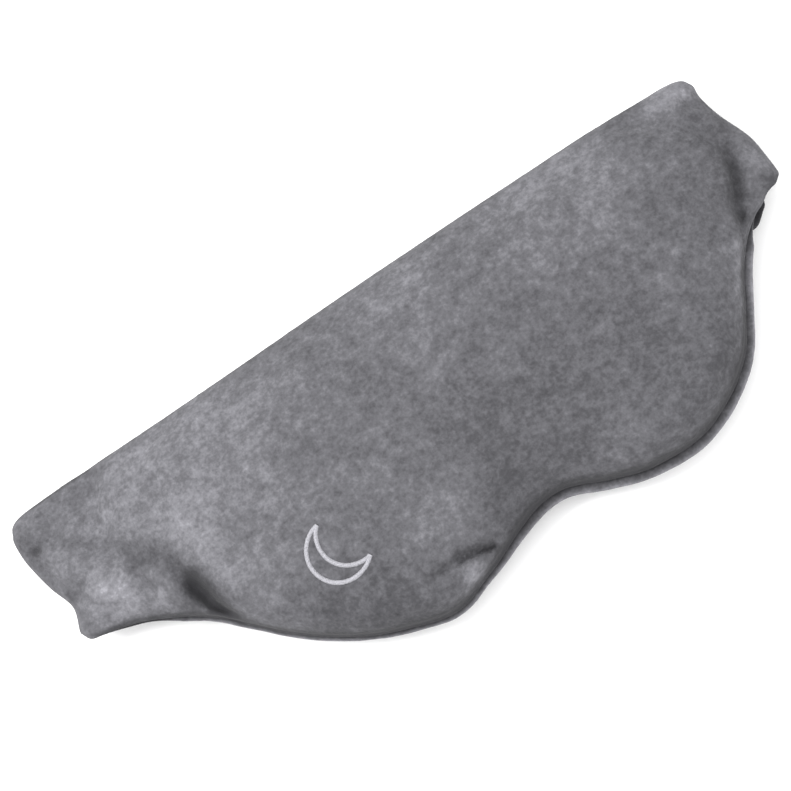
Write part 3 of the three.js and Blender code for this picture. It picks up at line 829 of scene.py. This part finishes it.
def make_front():
    piece = new_piece("plush_front", *cover_surface(240, 104, 0, front_heights, front_rings, 1))
    ruffle(piece, 2.3, 0.16, 4.0)
    # The front's pile tone holds painted light and shade in spots and creases and along the hem.
    paint_pile_light_and_shade(piece, 0.38, FRONT_PILE_LIGHT_SHADE_SPOTS, CREASES, hem_shade)
    thicken(piece, COVER_THICKNESS)
    apply_modifiers(piece)
    stand_in(piece, "front_cover", "plush")
    return piece


def make_back():
    """The back has a bound slit over the charging port."""
    points, faces = cover_surface(200, 90, BACK_TUCK, back_heights, back_rings, -1)
    inside = np.linalg.norm((points[:, :2] - CHARGING_SLIT) / SLIT_HALF, axis=1) < 1
    faces = [face for face in faces if not all(inside[k] for k in face)]
    piece = new_piece("plush_back", points, faces)
    low = min(vertex.co.z for vertex in piece.data.vertices)
    ruffle(piece, 2.6, 0.1, 9.0)
    for vertex in piece.data.vertices:
        vertex.co.z = max(vertex.co.z, low)
    # Painted shade: a darker base tone than the front's, and shade in the seam's groove. Painted light: the
    # side wall and the band round the right lobe.
    paint_pile_light_and_shade(piece, 0.33, [(80, 5, 0.12, 30)], dark=seam_shade)
    thicken(piece, COVER_THICKNESS)
    apply_modifiers(piece)
    stand_in(piece, "back_cover", "plush_back")
    return piece


front = make_front()
back = make_back()


def surface_of(piece):
    """The height and the normal of a piece's surface, looked for from above or from below, in millimetres."""
    tree = BVHTree.FromObject(piece, bpy.context.evaluated_depsgraph_get())

    def look(x, y, from_above=True):
        start = Vector((x, y, 60 if from_above else -20)) * MM
        place, normal, _, _ = tree.ray_cast(start, Vector((0, 0, -1 if from_above else 1)))
        return (place / MM, normal) if place else (None, None)

    return look


on_front = surface_of(front)
back_surface = surface_of(back)


def under_back(x, y):
    """Height of the back's underside, or of the straps' bay where the back doesn't reach."""
    place, _ = back_surface(x, y, False)
    return place.z if place else BAY_LIFT


# ------------------------------------------------------------------ thread
def strand(start, end, lift, up, radius, steps=5, sides=5):
    """One thread that arches from start to end and dives into the cloth at both."""
    start, end, up = (np.asarray(v, float) for v in (start, end, up))
    ahead = (end - start) / np.linalg.norm(end - start)
    across = np.cross(ahead, up)
    points = []
    for k in range(steps + 1):
        share = k / steps
        arch = math.sin(math.pi * share)
        centre = start + (end - start) * share + up * lift * arch
        reach = radius * (0.55 + 0.45 * arch**0.5)
        for side in range(sides):
            angle = 2 * math.pi * side / sides
            points.append(centre + reach * (across * math.cos(angle) + up * math.sin(angle)))
    faces = [
        (k * sides + s, k * sides + (s + 1) % sides, (k + 1) * sides + (s + 1) % sides, (k + 1) * sides + s)
        for k in range(steps) for s in range(sides)
    ]
    faces += [tuple(range(sides)), tuple(steps * sides + s for s in range(sides))]
    return points, faces


def sewn(name, strands, body, slot="thread"):
    """One piece made of many strands. It rides on the body, or on none where no body is given."""
    points, faces = [], []
    for strand_points, strand_faces in strands:
        first = len(points)
        points.extend(strand_points)
        faces.extend(tuple(first + k for k in face) for face in strand_faces)
    piece = new_piece(name, points, faces)
    wear(piece, slot)
    if body:
        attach(piece, body)
    return piece


STITCH_PITCH = 2.7
STITCH_SHARE = 0.78  # of the pitch that its thread covers


def running_stitches(line, up, pitch=STITCH_PITCH, radius=0.2, lift=0.22):
    """Stitches end to end along a line of points that lie closely together, with short gaps."""
    line = np.asarray(line, float)
    length = length_along(line)
    count = max(int(length[-1] / pitch), 1)
    step = length[-1] / count

    def at(place):
        return np.array([np.interp(place, length, line[:, k]) for k in range(3)])

    return [strand(at(a), at(a + STITCH_SHARE * step), lift, up, radius) for a in np.arange(count) * step]


# ------------------------------------------------------------------ embroidered crescent
def arc(middle, radius, start, stop, pitch):
    """Points on an arc, each with its outward direction."""
    count = int(abs(stop - start) * radius / pitch)
    return [
        (middle + radius * math.cos(a), radius * math.sin(a), math.cos(a), math.sin(a))
        for a in np.linspace(start, stop, count, endpoint=False)
    ]


def make_crescent():
    """A crescent outline in satin stitch: short threads side by side across the line they draw."""
    target = middle_of("embroidered_crescent")
    line, radius, bite, offset, turn = 1.15, 9.0, 0.82, 0.52, 0.5
    r, b, o = radius - 0.75, radius * bite + 0.75, radius * offset
    tip = math.acos((r * r + o * o - b * b) / (2 * r * o))
    inner = math.atan2(r * math.sin(tip), r * math.cos(tip) - o)
    points = np.array(arc(0, r, tip, 2 * math.pi - tip, 0.25) + arc(o, b, 2 * math.pi - inner, inner, 0.25))
    cos, sin = math.cos(turn), math.sin(turn)
    spread = points[:, :2] @ np.array([[cos, sin], [-sin, cos]])
    shift = np.array(target[:2]) - (spread.max(0) + spread.min(0)) / 2
    made = []
    for k, (nx, ny) in enumerate(points[:, 2:]):
        across = np.array([nx * cos - ny * sin, nx * sin + ny * cos])
        slant = np.array([-across[1], across[0]]) * 0.3
        middle = spread[k] + shift
        half = line / 2 * (1 + 0.1 * fractal((k * 0.7, 0, 0), 1.0, 2.0, 1))
        ends = [middle + (across + slant) * half * side for side in (-1, 1)]
        places = [on_front(*end)[0] for end in ends]
        made.append(strand(*places, 0.3, on_front(*middle)[1], 0.17, steps=6))
    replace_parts(sewn("crescent_embroidery", made, "mask"), "embroidered_crescent")


make_crescent()


# ------------------------------------------------------------------ straps and elastics
STITCH_INSET = 2.6  # the rows of stitches along a strap lie this far inside its edges
STRAP_BODY = 2.3
ROOT_Z = 6.1
ELASTIC_BODY = 1.45


def strip(name, path, edges, thickness, rows=44, groove=0.3, roundness=5):
    """A long flat piece: path gives X and Z of its middle line, edges gives its two sides in Y at each X."""
    path = np.asarray(path, float)
    thickness = np.broadcast_to(np.asarray(thickness, float), len(path))
    ahead = np.gradient(path, axis=0)
    ahead /= np.linalg.norm(ahead, axis=1)[:, None]
    normal = np.stack([-ahead[:, 1], ahead[:, 0]], axis=1)
    length = length_along(path)
    share = -np.cos(np.linspace(0, math.pi, rows + 1)) * 0.6 + np.linspace(-1, 1, rows + 1) * 0.4
    points = []
    for k, (x, z) in enumerate(path):
        low, high = edges(x)
        y = (low + high) / 2 + share * (high - low) / 2
        from_edge = np.minimum(y - low, high - y)
        half = thickness[k] / 2 * (1 - np.abs(share) ** roundness) ** (1 / roundness)
        stitch = 0.6 + 0.4 * math.cos(2 * math.pi * length[k] / STITCH_PITCH)
        half = half - groove * stitch * np.exp(-(((from_edge - STITCH_INSET) / 0.55) ** 2))
        for side in (1, -1):
            along_strip = np.column_stack([np.full(rows + 1, length[k]), y])
            lump = lumps(along_strip, 6, 3.0 + side) * 0.09 * (groove > 0)
            shift = side * (half + np.minimum(half, lump + 0.09) * 0.5)
            points.append(np.column_stack([x + normal[k, 0] * shift, y, z + normal[k, 1] * shift]))
    stacked = np.array(points).reshape(len(path), 2, rows + 1, 3)
    columns, count = len(path) - 1, len(path) * (rows + 1)
    points = np.concatenate([stacked[:, 0].reshape(-1, 3), stacked[:, 1].reshape(-1, 3)])
    faces = grid_faces(columns, rows) + [face[::-1] for face in grid_faces(columns, rows, count)]
    for first in (0, columns * (rows + 1)):
        faces += [(first + j, first + j + 1, first + j + 1 + count, first + j + count) for j in range(rows)]
    return new_piece(name, points, faces)


def straight(start, end, step=1.2):
    """Evenly spaced points from start to end, both ends with them."""
    start, end = np.array(start, float), np.array(end, float)
    count = max(int(np.linalg.norm(end - start) / step), 1)
    return [tuple(start + (end - start) * k / count) for k in range(count + 1)]


class StrapSide:
    """The places of one strap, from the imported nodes. inward is +1 for the left strap, -1 for the right."""

    def __init__(self, side, inward, pad):
        self.side, self.inward, self.pad = side, inward, pad
        self.low, self.high = span(f"{side}_strap")
        self.middle_z = (self.low.z + self.high.z) / 2
        self.root = self.low.x if inward > 0 else self.high.x
        self.tip = self.high.x if inward > 0 else self.low.x
        self.elastic = elastic_low, elastic_high = span(f"{side}_strap_elastic")
        self.elastic_z = (elastic_low.z + elastic_high.z) / 2
        self.elastic_end = elastic_low.x if inward > 0 else elastic_high.x
        self.y = (elastic_low.y + elastic_high.y) / 2

    def place(self, x):
        """How far a place lies inward of the strap's root."""
        return (x - self.root) * self.inward


SIDES = [StrapSide("left", 1, "loop_pad"), StrapSide("right", -1, "hook_pad")]


def strap_edges(strap):
    """The strap's two sides at X, straight from root to tip. The right root flares so that a corner shows."""
    flare = 6.6 if strap.inward < 0 else 0.0
    width, corner_radius = 30, 1.6
    root_low, root_high = (22.8, 55.4) if strap.inward > 0 else (21.6, 54.0)
    run = abs(strap.tip - strap.root)

    def edges(x):
        share = min(max(strap.place(x) / run, 0), 1)
        from_corner = strap.place(x) + 0.2
        spread = flare * math.exp(-(((max(from_corner, 0) - 5) / 6.5) ** 2))
        spread *= math.exp(-((min(from_corner, 0) / 1.5) ** 2))
        corner = corner_radius * max(1 - (run - strap.place(x)) / corner_radius, 0) ** 2
        low = root_low + (strap.y - width / 2 - root_low) * share - spread + corner
        high = root_high + (strap.y + width / 2 - root_high) * share - corner
        return low, high

    return edges


def bend(piece, start, end, turn):
    """Bakes the piece's transform into its mesh. It doesn't bend the piece: start, end and turn change nothing.
    """
    start, end = (Vector((x, 0, z)) * MM for x, z in (start, end))
    if turn > 0:
        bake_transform(piece)
        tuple(start)
        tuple(end)
    else:
        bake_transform(piece)
        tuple(end)
        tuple(start)


def make_strap(strap):
    """The strap leaves its seam under the wing, eases down and runs flat to its tip."""
    s, root = strap.inward, strap.root
    reach = 0.1 if s > 0 else -1.9
    easing = smooth_curve([
        (root + s * reach, ROOT_Z), (root + s * 1.0, ROOT_Z - 0.25), (root + s * 2.2, ROOT_Z - 0.9),
        (root + s * 3.6, strap.middle_z + 0.1), (root + s * 5.2, strap.middle_z),
    ], 12)
    flat = straight((root + s * 6.4, strap.middle_z), (strap.tip - s * 1.2, strap.middle_z))
    end = [(strap.tip - s * d, strap.middle_z) for d in (0.7, 0.3, 0.05)]
    path = np.array([*easing, *flat, *end])
    place = (path[:, 0] - root) * s
    run = abs(strap.tip - root)
    thickness = STRAP_BODY * np.clip(0.16 + 0.84 * place / 6.0, 0, 1)
    thickness *= np.clip(1 - np.clip(1 - (run - place) / 1.3, 0, 1) ** 2.2, 0.15, 1)
    edges = strap_edges(strap)
    body = strip(f"{strap.side}_strap_plush", path, edges, thickness)
    ruffle(body, 2.4, 0.08, 11.0)
    # Painted shade: a dark spot where the right strap's root corner peeks out under the wing.
    dark = [(88, 17, -0.35, 6)] if s < 0 else []
    paint_pile_light_and_shade(body, 0.3, dark)
    wear(body, "plush_back")
    lines = []
    for face in (1, -1):
        z = strap.middle_z + face * (STRAP_BODY / 2 - 0.16)
        xs = np.linspace(root + s * 6, strap.tip - s * 3.4, 60)
        for edge, inset in enumerate((STITCH_INSET, -STITCH_INSET)):
            line = [(x, edges(x)[edge] + inset, z) for x in xs]
            lines += running_stitches(line, (0, 0, face), 2.9)
        for from_tip in (3.4, 7.2):
            line = [(strap.tip - s * from_tip, y, z) for y in np.linspace(strap.y - 12.4, strap.y + 12.4, 30)]
            lines += running_stitches(line, (0, 0, face), 2.4)
    stitching = sewn(f"{strap.side}_strap_stitching", lines, None)
    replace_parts(body, f"{strap.side}_strap")
    start, end = (root - s * 0.2, strap.middle_z), (root + s * 4.4, strap.middle_z)
    for piece in (body, stitching):
        bend(piece, start, end, s)


def make_root_tape(strap):
    """A tape that holds the strap's root to the underside of the wing, with two rows of stitches."""
    s = strap.inward
    low, high = strap_edges(strap)(strap.root + s * 20)
    inset, sunk, rows, columns = 0.4, 0.12, 30, 8
    outer, inner = strap.root - s * 0.3, strap.root + s * 3.0
    ys = np.linspace(low + inset, high - inset, rows + 1)
    points = [(x, y, under_back(x, y) - sunk) for x in np.linspace(outer, inner, columns + 1) for y in ys]
    tape = new_piece(f"{strap.side}_root_tape", points, grid_faces(columns, rows))
    if tape.data.polygons[0].normal.z > 0:
        tape.data.flip_normals()
    thicken(tape, 0.35, 1)
    soft = tape.modifiers.new("soft", "BEVEL")
    soft.width = 0.12 * MM
    soft.segments = 2
    apply_modifiers(tape)
    wear(tape, "webbing")
    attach(tape, "mask")
    lines = []
    for share in (0.22, 0.78):
        x = outer + (inner - outer) * share
        line = [(x, y, under_back(x, y) - 0.45) for y in np.linspace(low, high, 50)]
        lines += running_stitches(line, (0, 0, -1), 2.2, 0.17)
    sewn(f"{strap.side}_root_stitching", lines, "mask")


def elastic_edges(strap):
    """The elastic's two sides at X, with round corners at its free end."""
    low, high = strap.elastic
    radius = 2.4

    def edges(x):
        corner = radius * (1 - math.sqrt(1 - max(1 - abs(x - strap.elastic_end) / radius, 0) ** 2))
        return low.y + corner, high.y - corner

    return edges


def make_elastic(strap, sewn_in=7, clear=0.2):
    """The elastic is sewn into the strap's tip, turns back round the inner fold and lies flat below."""
    s, tip, end = strap.inward, strap.tip, strap.elastic_end
    top, low = strap.middle_z, strap.elastic_z
    radius = (top - low) / 2
    inside = straight((tip - s * sewn_in, top), (tip - s * 0.1, top), 1.0)
    turn = [
        (tip + s * radius * math.sin(a), low + radius + radius * math.cos(a))
        for a in np.linspace(clear, math.pi - clear, 15)
    ]
    below = straight((tip - s * 0.1, low), (end + s * 0.5, low), 0.9)
    path = np.array([*inside, *turn, *below, (end + s * 0.2, low), (end + s * 0.04, low)])
    thickness = np.concatenate([
        np.full(len(inside), 0.4), np.linspace(0.5, ELASTIC_BODY, len(turn)),
        np.full(len(below), ELASTIC_BODY), (ELASTIC_BODY * 0.8, ELASTIC_BODY * 0.4),
    ])
    piece = strip(f"{strap.side}_elastic", path, elastic_edges(strap), thickness, 28, 0, 7)
    wear(piece, "webbing")
    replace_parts(piece, f"{strap.side}_strap_elastic")
    bend(piece, (tip, top - 0.3), (tip, low + 0.8), -s)


def make_touch_pad(strap):
    """Hook or loop tape sewn to the elastic's end: the loops are a felted mat, the hooks stand in rows."""
    low, high = span(strap.pad)
    middle, half = np.array((low + high) / 2)[:2], np.array((high - low) / 2)[:2]
    columns, rows, radius, hook_pitch = 110, 62, 2, 1.55
    xs, ys = np.linspace(low.x, high.x, columns + 1), np.linspace(low.y, high.y, rows + 1)
    grid = np.stack(np.meshgrid(xs, ys, indexing="ij"), axis=2)
    edge = (half - np.abs(grid - middle)).min(axis=2)
    corner = np.linalg.norm(np.maximum(np.abs(grid - middle) - (half - radius), 0), axis=2)
    bed = np.clip(edge / 0.5, 0, 1) * np.clip((radius - corner) / 0.4, 0, 1)
    if strap.pad == "hook_pad":
        pile = 0.5 + 0.5 * np.cos(grid * 2 * np.pi / hook_pitch).prod(axis=2)
    else:
        pile = 0.5 + 0.5 * lumps(grid, 1.1, 8.0)
    inside = np.clip((edge - 2.2) / 0.4, 0, 1)
    rise = (high.z - low.z - 0.05) * (0.4 + 0.6 * inside * pile) * bed
    up = 1 if strap.pad == "loop_pad" else -1
    flat_z, work_z = (low.z + 0.02, low.z + rise) if up > 0 else (high.z + 0.01, high.z - rise)
    sheets = [
        np.concatenate([grid, np.broadcast_to(z, grid.shape[:2])[..., None]], axis=2).reshape(-1, 3)
        for z in (flat_z, work_z)
    ]
    piece = new_piece(f"{strap.pad}_tape", np.concatenate(sheets), closed_faces(columns, rows))
    wear(piece, "touch_tape")
    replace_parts(piece, strap.pad)
    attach(piece, f"{strap.side}_strap_end")
    x, y = half - 1.3
    z = low.z + 0.4 if up > 0 else high.z - 0.4
    ring = [middle + corner for corner in ((-x, -y), (x, -y), (x, y), (-x, y), (-x, -y))]
    lines = []
    for a, b in zip(ring, ring[1:]):
        line = [(*place, z) for place in straight(a, b, 0.8)]
        lines += running_stitches(line, (0, 0, up), 2.0, 0.14, 0.14)
    sewn(f"{strap.pad}_stitching", lines, f"{strap.side}_strap_end")


for each_side in SIDES:
    make_strap(each_side)
    make_root_tape(each_side)
    make_elastic(each_side)
    make_touch_pad(each_side)


# ------------------------------------------------------------------ filling
def cut_round_hole(piece, x, y, radius):
    cutter_mesh = bpy.data.meshes.new("cutter")
    shape = bmesh.new()
    bmesh.ops.create_cone(
        shape, cap_ends=True, segments=48, radius1=radius * MM, radius2=radius * MM, depth=40 * MM,
        matrix=Matrix.Translation(Vector((x, y, 15)) * MM),
    )
    shape.to_mesh(cutter_mesh)
    shape.free()
    cutter = placed("cutter", cutter_mesh)
    hole = piece.modifiers.new("hole", "BOOLEAN")
    hole.object = cutter
    hole.solver = "EXACT"
    apply_modifiers(piece)
    bpy.data.objects.remove(cutter)


def under_front(plan, gap):
    """Heights that gap under the front cover's inner face."""
    made = []
    for x, y in plan.points.reshape(-1, 2):
        place, _ = on_front(x, y)
        made.append((place.z if place else SEAM_Z + 2) - COVER_THICKNESS - gap)
    return np.array(made).reshape(plan.points.shape[:-1])


def make_padding():
    """A sheet of fibre under the front cover, thinner towards its edge, with a hole for the button."""
    plan = Plan(96, 40, inset=7.5)
    top = under_front(plan, 0.5)
    room = np.clip((top - SEAM_Z - 0.6) / 2.6, 0.15, 1)
    thick = 2.7 * room * np.clip(0.35 + (plan.depth - 5) / 9, 0.35, 1)
    piece = closed_between("padding_sheet", plan, top, top - thick)
    cut_round_hole(piece, *middle_of("button_cap")[:2], 7.2)
    ruffle(piece, 1.6, 0.12, 21.0)
    stand_in(piece, "front_padding", "batting")
    return piece


def make_core(padding):
    """Moulded foam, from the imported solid, with softened edges and kept clear of the padding above."""
    piece = placed("foam_block", frame["nodes"]["foam_core"].data.copy())
    remesh_evenly(piece, 1.1)
    soft = piece.modifiers.new("soft", "SMOOTH")
    soft.factor = 0.4
    soft.iterations = 2
    apply_modifiers(piece)
    look = surface_of(padding)
    for vertex in piece.data.vertices:
        place, _ = look(vertex.co.x / MM, vertex.co.y / MM, False)
        if place:
            vertex.co.z = min(vertex.co.z, (place.z - 0.25) * MM)
    piece.data.shade_smooth()
    stand_in(piece, "foam_core", "foam")


def make_pouch(side, pleats=26):
    """A round-edged pouch of beads with a flat hem all round, sewn shut."""
    low, high = span(f"{side}_bead_pouch")
    middle, half = (low + high) / 2, (high - low) / 2
    rings, spokes, hem = 26, 120, 1.5
    points = [[], []]
    for k in range(1, rings + 1):
        share = k / rings
        body = min(share * 1.12, 1)
        puff = (half.z - 0.2) * (1 - body**2.6) ** 0.55
        for n in range(spokes):
            angle = 2 * math.pi * n / spokes
            x, y = half.x * share * math.cos(angle), half.y * share * math.sin(angle)
            beads = 0.2 * abs(fractal((x, y, 0), 1.3, 5.0, 1)) * (body < 1)
            pucker = 0.12 * math.cos(pleats * angle) * math.exp(-(((body - 0.93) / 0.09) ** 2))
            for sheet, sign in enumerate((1, -1)):
                z = middle.z + sign * (0.16 + max(puff + beads - 0.2 + pucker * (1 - hem / half.x), 0))
                points[sheet].append((middle.x + x, middle.y + y, z))
    other, rim, faces = rings * spokes + 1, (rings - 1) * spokes, []
    ring_pairs = [(n, (n + 1) % spokes) for n in range(spokes)]
    for sheet, sign in enumerate((1, -1)):
        points[sheet].append((middle.x, middle.y, middle.z + sign * (half.z - 0.1)))
        for first in range(sheet * other, sheet * other + rim, spokes):
            faces += [(first + a, first + b, first + b + spokes, first + a + spokes) for a, b in ring_pairs]
        faces += [(sheet * other + other - 1, sheet * other + a, sheet * other + b) for a, b in ring_pairs]
    faces += [(rim + a, rim + b, other + rim + b, other + rim + a) for a, b in ring_pairs]
    piece = new_piece(f"{side}_bead_bag", points[0] + points[1], faces)
    stand_in(piece, f"{side}_bead_pouch", "bead_cloth")


make_core(make_padding())
make_pouch("left")
make_pouch("right")


# ------------------------------------------------------------------ charging slit
def make_slit_binding():
    """A corded binding round the charging slit in the back cover, overcast with thread."""
    made = []
    for angle in np.linspace(0, 2 * math.pi, 96, endpoint=False):
        out = np.array([BINDING_HALF[0] * math.cos(angle), BINDING_HALF[1] * math.sin(angle), 0])
        x, y = CHARGING_SLIT + out[:2]
        place, half = np.array([x, y, under_back(x, y) - 0.05]), 0.75 * out / np.linalg.norm(out)
        made.append(strand(place - half, place + half, 0.22, (0, 0, -1), 0.2))
    sewn("charging_slit_binding", made, "mask", "webbing")


make_slit_binding()


# ------------------------------------------------------------------ stage
def make_stage():
    look = Look("floor", 0.9)
    look.colour(look.ramp(look.noise(300, 1), [(0.0, grey(0.93)), (1.0, grey(0.95))]))
    size, z = 4000, -0.05
    corners = [(x * size, y * size, z) for x, y in ((-1, -1), (1, -1), (1, 1), (-1, 1))]
    floor = new_piece("floor", corners, [(0, 1, 2, 3)], smooth=False)
    floor.data.materials.append(look.material)
    world = bpy.data.worlds.new("world")
    world.use_nodes = True
    background = world.node_tree.nodes["Background"]
    background.inputs["Color"].default_value = (1, 1, 1, 1)
    background.inputs["Strength"].default_value = 1.55
    bpy.context.scene.world = world
    bpy.context.scene.view_settings.view_transform = "Standard"


def area_light(name, place, target, size, power):
    data = bpy.data.lights.new(name, "AREA")
    data.shape = "DISK"
    data.size = size * MM
    data.energy = power
    light = placed(name, data)
    light.location = Vector(place) * MM
    toward = (Vector(target) - Vector(place)).normalized()
    light.rotation_mode = "QUATERNION"
    light.rotation_quaternion = toward.to_track_quat("-Z", "Y")


make_stage()
area_light("key", (-420, 260, 620), (-20, 15, 0), 380, 4.1)
area_light("fill", (480, -300, 520), (20, 15, 0), 500, 0.8)
